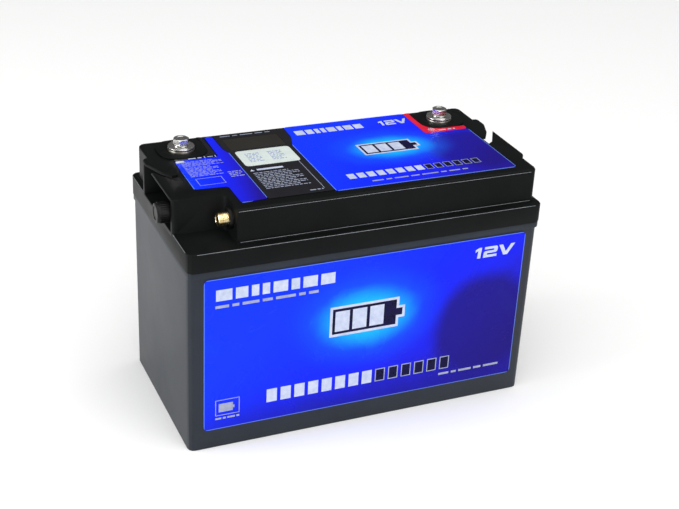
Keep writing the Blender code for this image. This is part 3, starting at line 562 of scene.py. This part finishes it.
def makeBolt(side):
    low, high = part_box(side + "_bolt")
    middle = ((low.x + high.x) / 2, (low.y + high.y) / 2, high.z - bolt["headHeight"] * mm)
    # the head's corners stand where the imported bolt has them
    corners = [v.co for v in nodes[side + "_bolt"].data.vertices if v.co.z > high.z - 1e-5]
    corner = max(corners, key=lambda v: math.hypot(v.x - middle[0], v.y - middle[1]))
    turn = math.atan2(corner.y - middle[1], corner.x - middle[0])
    piece = turnPiece(side + "_hexagon_bolt", boltSection(bolt), steps=48, smoothAngle=30)
    bpy.ops.object.mode_set(mode="EDIT")
    reach = bolt["acrossFlats"] / 2 * mm
    for flat in range(6):
        angle = turn + math.radians(30 + 60 * flat)
        away = Vector((math.cos(angle), math.sin(angle), 0))
        bpy.ops.mesh.select_all(action="SELECT")
        bpy.ops.mesh.bisect(plane_co=away * reach, plane_no=away, use_fill=True, clear_outer=True)
    bpy.ops.mesh.select_all(action="SELECT")
    bpy.ops.mesh.normals_make_consistent(inside=False)
    bpy.ops.object.mode_set(mode="OBJECT")
    bpy.ops.object.shade_smooth_by_angle(angle=math.radians(24))
    applyPlace(piece, middle)
    settle(piece, side + "_bolt", "zinc_steel", finishes["zinc_steel"], side + "_bolt")


def makeWashers(side):
    low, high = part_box(side + "_flat_washer")
    middle = ((low.x + high.x) / 2, (low.y + high.y) / 2, low.z)
    outer, thick = (high.x - low.x) / 2 / mm, (high.z - low.z) / mm
    edge, bore = washers["flatEdge"], 4.4
    flat = turnPiece(side + "_round_washer", [
        (outer, edge), (outer, thick - edge), (outer - edge * 0.3, thick - edge * 0.3), (outer - edge, thick),
        (bore + 0.2, thick), (bore, thick - 0.2), (bore, 0.2), (bore + 0.2, 0), (outer - edge, 0),
        (outer - edge * 0.3, edge * 0.3)], steps=96)
    applyPlace(flat, middle)
    settle(flat, "battery", "zinc_steel", finishes["zinc_steel"], side + "_flat_washer")

    low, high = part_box(side + "_lock_washer")
    outer, thick = (high.y - low.y) / 2 / mm, (high.z - low.z) / mm
    edge, half = washers["lockEdge"], math.radians(washers["lockSplit"]) / 2
    corners = [(outer, edge), (outer, thick - edge), (outer - edge, thick), (bore + edge, thick),
               (bore, thick - edge), (bore, edge), (bore + edge, 0), (outer - edge, 0)]
    lock = startOutline(side + "_spring_washer", [
        (radius * mm * math.cos(half), radius * mm * math.sin(half), height * mm)
        for radius, height in corners])
    bpy.ops.mesh.select_mode(type="VERT")
    bpy.ops.mesh.select_all(action="SELECT")
    bpy.ops.mesh.spin(steps=72, angle=-(2 * math.pi - 2 * half), center=(0, 0, 0), axis=(0, 0, 1))
    bpy.ops.mesh.select_all(action="SELECT")
    bpy.ops.mesh.remove_doubles(threshold=0.000002)
    bpy.ops.mesh.fill_holes(sides=0)
    bpy.ops.mesh.select_all(action="SELECT")
    bpy.ops.mesh.normals_make_consistent(inside=False)
    bpy.ops.object.mode_set(mode="OBJECT")
    bpy.ops.object.shade_smooth_by_angle(angle=math.radians(32))
    applyPlace(lock, (middle[0], middle[1], low.z))
    settle(lock, side + "_screw_travel", "zinc_steel", finishes["zinc_steel"], side + "_lock_washer")


def makePad(side):
    # the tinned post: a round pad on a stub with the threaded bore down its middle
    low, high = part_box(side + "_post")
    middle = ((low.x + high.x) / 2, (low.y + high.y) / 2, low.z)
    wide, tall = (high.x - low.x) / 2 / mm, (high.z - low.z) / mm
    under = tall - 2.3
    edge = pad["edge"]
    piece = turnPiece(side + "_threaded_post", [
        (0, 5.0), (4.3, 5.0), (4.3, tall - 0.3), (4.6, tall), (wide - edge, tall),
        (wide - edge * 0.3, tall - edge * 0.3),
        (wide, tall - edge), (wide, under), (9.5, under), (9.5, 0.4), (9.1, 0), (0, 0)], steps=96)
    applyPlace(piece, middle)
    settle(piece, "battery", "tinned_copper", finishes["tinned_copper"], side + "_post")


for side in ("positive", "negative"):
    makeBolt(side)
    makeWashers(side)
    makePad(side)
print("terminals ready")

openPort = {
    "bore": 4.4,
    "floor": 4.0,          # mm from the wall to the bottom of the socket
    "tail": 15.0,
    "threadDepth": 0.50,
    "pitch": 1.25,
    "pinRadius": 0.50,
    "pinCircle": 2.0,
    "pinCount": 4,
    "flangeEdge": 0.5,
}
dustCap = {"ribs": 28, "ribHeight": 0.60, "ribStart": 2.0, "ribEnd": 15.6, "rim": 1.1}


def turnOutwards(piece, place):
    # a turned piece stands along +Z: this points it along -X from its place on the wall
    applyPlace(piece, place, (0, -math.pi / 2, 0))


def wallPlace(nodeName, x):
    low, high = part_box(nodeName)
    return (x, (low.y + high.y) / 2, (low.z + high.z) / 2)


def makeOpenPort(size):
    low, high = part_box("open_port_shell")
    wall = high.x - size["tail"] * mm
    reach, radius = (wall - low.x) / mm, (high.z - low.z) / 2 / mm
    root = radius - size["threadDepth"]
    section = [(0, size["floor"]), (size["bore"], size["floor"]), (size["bore"], reach - 0.35),
               (size["bore"] + 0.35, reach), (radius - 0.75, reach), (radius - 0.35, reach - 0.35)]
    height = reach - 0.6
    while height > 3.6:
        section += [(radius, height), (radius, height - 0.30), (root, height - 0.62), (root, height - 0.80)]
        height -= size["pitch"]
    section += [(radius, height), (radius, -size["tail"]), (0, -size["tail"])]
    shell = turnPiece("threaded_socket", section, steps=96, smoothAngle=28)
    turnOutwards(shell, wallPlace("open_port_shell", wall))
    settle(shell, "battery", "brass", finishes["brass"], "open_port_shell")

    insertLow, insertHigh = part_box("open_port_insert")
    radius, thick = (insertHigh.z - insertLow.z) / 2 / mm, (insertHigh.x - insertLow.x) / mm
    insert = turnPiece("contact_carrier", [
        (0, thick - 0.4), (radius - 1.0, thick - 0.4), (radius - 0.8, thick), (radius - 0.2, thick),
        (radius, thick - 0.2), (radius, 0), (0, 0)], steps=64)
    turnOutwards(insert, wallPlace("open_port_insert", insertHigh.x))
    settle(insert, "battery", "port_plastic", finishes["port_plastic"], "open_port_insert")

    pins = []
    for index in range(size["pinCount"]):
        angle = math.radians(45 + 360 / size["pinCount"] * index)
        pin = turnPiece("contact_pin", [(0, 0), (size["pinRadius"], 0), (size["pinRadius"], 2.6),
                                        (size["pinRadius"] * 0.7, 3.0), (0, 3.15)], steps=16)
        reach = size["pinCircle"] * mm
        applyPlace(pin, (reach * math.cos(angle), reach * math.sin(angle), 0))
        pins.append(pin)
    pins = joinAll("contact_pins", pins)
    turnOutwards(pins, wallPlace("open_port_insert", insertLow.x + 0.38 * mm))
    settle(pins, "battery", "brass", finishes["brass"])

    for nodeName, pieceName, finish in (("open_port_flange", "port_flange", "port_plastic"),
                                        ("capped_port_gasket", "port_gasket", "seal_rubber")):
        ringLow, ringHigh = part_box(nodeName)
        outer, thick = (ringHigh.z - ringLow.z) / 2 / mm, (ringHigh.x - ringLow.x) / mm
        bore = 6.3 if nodeName == "open_port_flange" else 7.5
        edge = size["flangeEdge"]
        ring = turnPiece(pieceName, [
            (outer, 0), (outer, thick - edge), (outer - edge * 0.3, thick - edge * 0.3),
            (outer - edge, thick), (bore, thick), (bore, 0)], steps=96)
        turnOutwards(ring, wallPlace(nodeName, ringHigh.x))
        settle(ring, "battery", finish, finishes[finish], nodeName)


def makeDustCap(size):
    low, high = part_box("dust_cap")
    outer, tall = (high.z - low.z) / 2 / mm, (high.x - low.x) / mm
    body = outer - size["ribHeight"]
    bore, depth = 7.5, 7.6
    steps = size["ribs"] * 4
    piece = turnPiece("ribbed_dust_cap", [
        (0, tall - 0.5), (body - 3.0, tall - 0.5), (body - 2.6, tall), (body - size["rim"], tall),
        (body - 0.3, tall - 0.4), (body, tall - size["rim"]), (body, size["ribEnd"]),
        (body, size["ribStart"]), (body, 1.2), (outer, 1.0), (outer, 0.2), (outer - 0.2, 0),
        (bore, 0), (bore, depth), (0, depth)],
        steps=steps, smoothAngle=30)
    bpy.ops.object.mode_set(mode="EDIT")
    middle = (size["ribStart"] + size["ribEnd"]) / 2 * mm

    def onRib(centre):
        turn = math.degrees(math.atan2(centre.y, centre.x)) % 360
        step = int(turn / 360 * steps)
        return (step % 4 < 2 and abs(centre.z - middle) < 0.4 * mm
                and math.hypot(centre.x, centre.y) > (body - 0.2) * mm)

    pick("FACE", onRib)
    bpy.ops.mesh.extrude_region_shrink_fatten(
        TRANSFORM_OT_shrink_fatten={"value": size["ribHeight"] * mm})
    bpy.ops.transform.resize(value=(1, 1, 0.94), center_override=(0, 0, middle))
    bpy.ops.object.mode_set(mode="OBJECT")
    bpy.ops.object.shade_smooth_by_angle(angle=math.radians(25))
    turnOutwards(piece, wallPlace("dust_cap", high.x))
    settle(piece, "dust_cap", "port_plastic", finishes["port_plastic"], "dust_cap")


makeOpenPort(openPort)
makeDustCap(dustCap)
print("data ports ready")

film = 0.4 * mm
ink = 0.04 * mm            # thickness of the ink, drawn a little proud so that it stays clear of the film
lift = 0.03 * mm
lean = math.atan((frontHigh.y - frontLow.y - film) / (frontHigh.z - frontLow.z))
frontFace = (frontLow.y + frontHigh.y) / 2 - film / 2 + math.tan(lean) * (frontLow.z + frontHigh.z) / 2


def inked(piece, inks):
    for each in inks:
        piece.data.materials.append(finishes[each])
    return piece


def flatShape(corners, inks=("whiteInk",), rims=()):
    # a flat plate from its corners in mm; each rim leaves a band round it and takes the next ink inside
    piece = startOutline("print", [(x * mm, y * mm, 0) for x, y in corners])
    bpy.ops.mesh.select_all(action="SELECT")
    bpy.ops.mesh.edge_face_add()
    for index, rim in enumerate(rims):
        bpy.ops.mesh.inset(thickness=rim * mm)
        for face in bmesh.from_edit_mesh(piece.data).faces:
            if face.select:
                face.material_index = index + 1
    bpy.ops.object.mode_set(mode="OBJECT")
    return inked(piece, inks)


def finishPrint(name, shapes, plane):
    piece = joinAll(name, shapes)
    bpy.ops.object.mode_set(mode="EDIT")
    shape = bmesh.from_edit_mesh(piece.data)
    for face in shape.faces:
        face.select_set(face.normal.z < 0)
    bmesh.update_edit_mesh(piece.data)
    bpy.ops.mesh.flip_normals()
    bpy.ops.object.mode_set(mode="OBJECT")
    addModifier(piece, "SOLIDIFY", thickness=ink, offset=1.0)
    if plane == "front":
        applyPlace(piece, (0, frontFace - lift, 0), (math.pi / 2 + lean, 0, 0))
    else:
        applyPlace(piece, (0, 0, plane + lift))
    return settle(piece, "battery", "label_film", None)


def slantedBar(left, low, wide, tall, slant=0.0, inks=("whiteInk",), rims=()):
    return flatShape([(left, low), (left + wide, low), (left + wide + slant * tall, low + tall),
                      (left + slant * tall, low + tall)], inks, rims)


# the rating's three signs in wide strokes, each drawn one unit high
voltageSigns = [
    (0.00, [(0.25, 0), (0.54, 0), (0.54, 1), (0.30, 1), (0, 0.84), (0, 0.60), (0.25, 0.72)]),
    (0.78, [(0, 0), (1.25, 0), (1.25, 0.23), (0.33, 0.23), (0.33, 0.39), (1.12, 0.39), (1.25, 0.51),
            (1.25, 0.87), (1.12, 1), (0.04, 1), (0.04, 0.77), (0.92, 0.77), (0.92, 0.61), (0.13, 0.61),
            (0, 0.49)]),
    (2.12, [(0.56, 0), (0.92, 0), (1.48, 1), (1.12, 1), (0.74, 0.30), (0.36, 1), (0, 1)]),
]


def voltageShapes(left, low, wide, tall, slant=0.10):
    unit = wide / 3.6
    return [flatShape([(left + (start + x) * unit + slant * y * tall, low + y * tall) for x, y in corners])
            for start, corners in voltageSigns]


def smallPrint(low, high, lines, cell=0.9, words=(4, 2, 5, 3, 6, 2, 4, 3), ink="greyInk"):
    # rows of word-long dashes: of every five strips of a grid two are a line, and the gaps are taken out
    columns = max(2, round((high[0] - low[0]) / cell))
    rows = 5 * lines - 3
    wide, tall = (high[0] - low[0]) * mm, (high[1] - low[1]) * mm
    clearSelection()
    bpy.ops.mesh.primitive_grid_add(x_subdivisions=columns, y_subdivisions=rows, size=1)
    piece = bpy.context.object
    piece.scale = (wide, tall, 1)
    applyPlace(piece, ((low[0] + high[0]) / 2 * mm, (low[1] + high[1]) / 2 * mm, 0))
    gaps = set()
    for line in range(lines):
        place, word = words[line % len(words)], line
        while place < columns:
            gaps.add((line, place))
            word += 1
            place += 1 + words[word % len(words)]
        if line % 3 == 1:
            gaps.update((line, column) for column in range(int(columns * 0.8), columns))
    bpy.ops.object.mode_set(mode="EDIT")

    def between(centre):
        row = int((centre.y / mm - low[1]) / (high[1] - low[1]) * rows)
        column = int((centre.x / mm - low[0]) / (high[0] - low[0]) * columns)
        return row % 5 > 1 or (row // 5, column) in gaps

    pick("FACE", between)
    bpy.ops.mesh.delete(type="FACE")
    bpy.ops.object.mode_set(mode="OBJECT")
    return inked(piece, (ink,))


# the picture on both films: the common sign for a charged battery, lying level, with three bars in it (mm)
cellShape = [(-36, 92), (30, 92), (30, 101), (36, 101), (36, 113), (30, 113), (30, 122), (-36, 122)]
levelBars = {"lefts": (-31, -14.5, 2), "low": 97, "wide": 13.5, "tall": 20}


def scaled(corners, scale, shift):
    return [(x * scale + shift[0], y * scale + shift[1]) for x, y in corners]


def makePicture(name, scale, shift, plane):
    cell = flatShape(scaled(cellShape, scale, shift), ("whiteInk", "navyInk"), (2.4 * scale,))
    finishPrint(name + "_cell", [cell], plane)
    bars = []
    for left in levelBars["lefts"]:
        corner = scaled([(left, levelBars["low"])], scale, shift)[0]
        bars.append(slantedBar(*corner, levelBars["wide"] * scale, levelBars["tall"] * scale))
    # the bars stand on the cell's own ink
    level = finishPrint(name + "_level", bars, plane if plane == "front" else plane + 2 * ink)
    if plane == "front":
        applyPlace(level, (0, -2 * ink, 0))


def makeBarRow(name, left, low, wide, tall, count, filled, plane):
    # a charge scale: the filled bars are white, the rest only outlined
    pitch = wide / count
    bars = []
    for index in range(count):
        inks, rims = (("whiteInk",), ()) if index < filled else (("greyInk", "navyInk"), (0.045 * tall,))
        bars.append(slantedBar(left + index * pitch, low, pitch * 0.74, 0.7 * tall, 0.0, inks, rims))
    finishPrint(name, bars, plane)


def makeBlocks(name, left, low, wide, tall, widths, plane):
    # the place of a title is kept by plain blocks
    total = sum(widths) + 0.28 * (len(widths) - 1)
    unit = wide / total
    shapes = []
    for width in widths:
        shapes.append(slantedBar(left, low, width * unit, tall))
        left += (width + 0.28) * unit
    finishPrint(name, shapes, plane)


frontPrintPlaces = {
    "title": (-140, 146.5, 107, 10.5),
    "titleLine": ((-140.5, 139.6), (-48, 142.2)),
    "voltage": (101.5, 147.5, 39.5, 10.5),
    "bars": (-93, 37.0, 182, 19.0),
    "address": ((76, 30.6), (141, 32.8)),
    "box": ((-140, 32.5), (-118, 48.5)),
    "boxLine": ((-140, 28.6), (-118, 30.4)),
}
makePicture("front_picture", 1.0, (0, 0), "front")
makeBlocks("front_title", *frontPrintPlaces["title"], (1.3, 1.0, 0.6, 0.6, 1.2, 0.7, 1.2, 1.2), "front")
makeBarRow("front_scale", *frontPrintPlaces["bars"], 14, 8, "front")
finishPrint("front_voltage", voltageShapes(*frontPrintPlaces["voltage"]), "front")
finishPrint("front_small_lines", [
    smallPrint(*frontPrintPlaces["titleLine"], 1, 3.0), smallPrint(*frontPrintPlaces["address"], 1, 2.6),
    smallPrint(*frontPrintPlaces["boxLine"], 1, 1.4)], "front")


def hollowBox(low, high, rim, ink="greyInk"):
    # only the band round a box is printed
    piece = flatShape([low, (high[0], low[1]), high, (low[0], high[1])], (ink,), (rim,))
    bpy.ops.object.mode_set(mode="EDIT")
    bpy.ops.mesh.delete(type="FACE")
    bpy.ops.object.mode_set(mode="OBJECT")
    return piece


smallCellShape = [(-137, 36), (-124, 36), (-124, 38.6), (-122.6, 38.6), (-122.6, 41.4), (-124, 41.4),
                  (-124, 44.5), (-137, 44.5)]
smallCell = flatShape(smallCellShape, ("greyInk",))
frontBox = hollowBox(*frontPrintPlaces["box"], 0.6)
finishPrint("front_box", [frontBox, smallCell], "front")
print("front film printed")

topFace = topHigh.z
topPrintPlaces = {
    "title": (-17, 53.5, 67, 10.0),
    "voltage": (67, 53.5, 29, 10.5),
    "bars": (-9, -50.5, 130, 14.0),
    "address": ((8, -60.5), (100, -58.6)),
}
makePicture("top_picture", 0.8, (53.8, -80.6), topFace)
makeBlocks("top_title", *topPrintPlaces["title"], (1.3, 1.0, 0.6, 0.6, 1.2, 0.7, 1.2, 1.2), topFace)
makeBarRow("top_scale", *topPrintPlaces["bars"], 14, 8, topFace)
finishPrint("top_voltage", voltageShapes(*topPrintPlaces["voltage"]), topFace)
finishPrint("top_address", [smallPrint(*topPrintPlaces["address"], 1, 2.6)], topFace)

# the side strip and the notice: blocks of dashes, and no words. Each block is its low and high corner in mm,
# its number of lines and the width of a dash's cell
dashBlocks = {
    "strip_lines": [((-137, 14.5), (-101, 24.5), 5), ((-137, -7), (-108, 12), 8),
                    ((-104, -16), (-92, -5), 4)],
    "notice_lines": [((-84, -48), (-44, -14.5), 11), ((-50, -62), (-38, -60.4), 1, 1.4),
                     ((-86, 69.4), (-38, 70.6), 1, 2.4)],
}
stripPlaces = {
    "box": ((-135, -26), (-112, -12), 0.5),
    "mark": [(-140.3, 24.0), (-133, 24.0), (-133, 28.0), (-140.3, 28.0)],
}
noticePlaces = {
    "triangle": [(-85, -10.5), (-81, -10.5), (-83, -6.8)],
    "heading": (-78.5, -10.2, 24, 3.2),
    "rule": (-36.9, -60, 0.5, 88),
}
finishPrint("strip_lines", [smallPrint(*block) for block in dashBlocks["strip_lines"]], topFace)
finishPrint("strip_boxes", [hollowBox(*stripPlaces["box"]), flatShape(stripPlaces["mark"])], topFace)
finishPrint("notice_lines", [smallPrint(*block) for block in dashBlocks["notice_lines"]], topFace)
finishPrint("notice_head", [flatShape(noticePlaces["triangle"]), slantedBar(*noticePlaces["heading"])],
            topFace)
finishPrint("notice_rule", [slantedBar(*noticePlaces["rule"], 0.0, ("greyInk",))], topFace)

# the sticker's two pale blue patches: both corners, lines, cell width and the run of dash lengths
stickerPatches = [
    ((-78, 8), (-64, 26), 7, 1.3, (1, 2, 1, 3)),
    ((-57, 8), (-43, 26), 7, 1.3, (2, 1, 3, 1)),
]
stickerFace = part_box("white_sticker")[1].z
finishPrint("sticker_patches", [smallPrint(*patch, "blueInk") for patch in stickerPatches], stickerFace)

# polarity signs beside the terminals: left, low, wide and tall of each bar in mm
polarity = {
    "ringMiddle": (109, 31.6),
    "ringRadius": 3.0,
    "plusBars": [(107.1, 31.2, 3.8, 0.8), (108.6, 29.7, 0.8, 3.8)],
    "plusLine": ((115, 27.2), (132, 28.8), 1, 1.8),
    "minusBars": [(-110.5, 30.1, 5.0, 0.9), (-113.4, 28.6, 0.7, 3.8), (-103.6, 28.6, 0.7, 3.8)],
    "minusLine": ((-128, 29.6), (-116, 31.2), 1, 1.8),
}
circle = []
for step in range(24):
    angle = math.radians(15 * step)
    circle.append((polarity["ringMiddle"][0] + polarity["ringRadius"] * math.cos(angle),
                   polarity["ringMiddle"][1] + polarity["ringRadius"] * math.sin(angle)))
finishPrint("plus_ring", [flatShape(circle, ("whiteInk", "red_film"), (0.45,))], topFace)
finishPrint("plus_sign", [slantedBar(*bar) for bar in polarity["plusBars"]], topFace + 2 * ink)
finishPrint("plus_line", [smallPrint(*polarity["plusLine"], ink="whiteInk")], topFace)
finishPrint("minus_sign", [slantedBar(*bar) for bar in polarity["minusBars"]], topFace)
finishPrint("minus_line", [smallPrint(*polarity["minusLine"], ink="whiteInk")], topFace)
print("top films printed")
